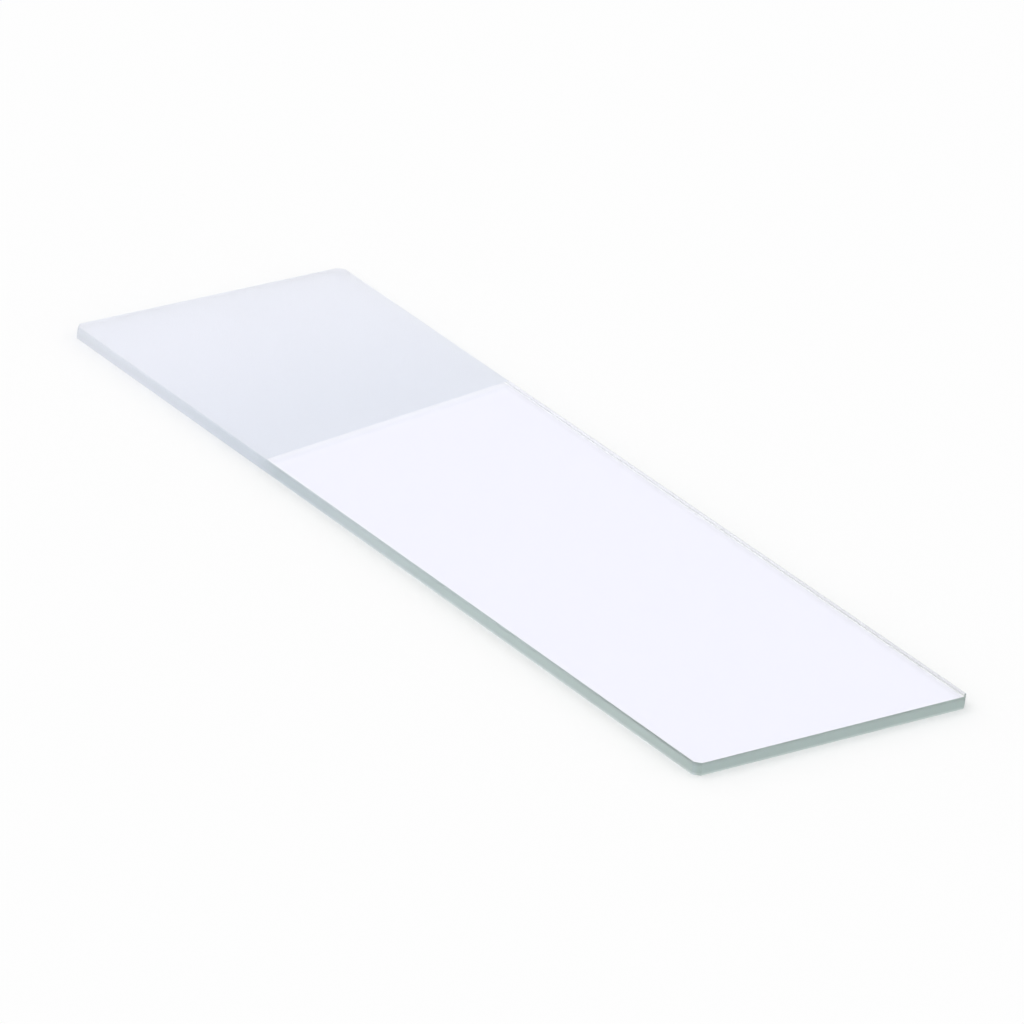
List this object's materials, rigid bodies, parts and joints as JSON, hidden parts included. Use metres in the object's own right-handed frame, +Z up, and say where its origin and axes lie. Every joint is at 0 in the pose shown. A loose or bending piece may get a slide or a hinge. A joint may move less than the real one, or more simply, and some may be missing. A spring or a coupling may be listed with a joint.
{
  "type": "microscope slide",
  "caption": "Flat glass microscope slide with ground edges, small clipped corners and one frosted end for writing on.",
  "frame": {"origin": "centre of the underside, on the surface that the slide lies on", "axes": "+Z up out of the top face, +X along the length towards the clear end, so the frosted end is at -X"},
  "size_m": [0.0762, 0.0254, 0.001],
  "materials": {
    "glass": "clear polished faces, ground grey-green edges, one frosted end"
  },
  "bodies": {
    "root": {"glass_slide": "glass"}
  },
  "joints": []
}
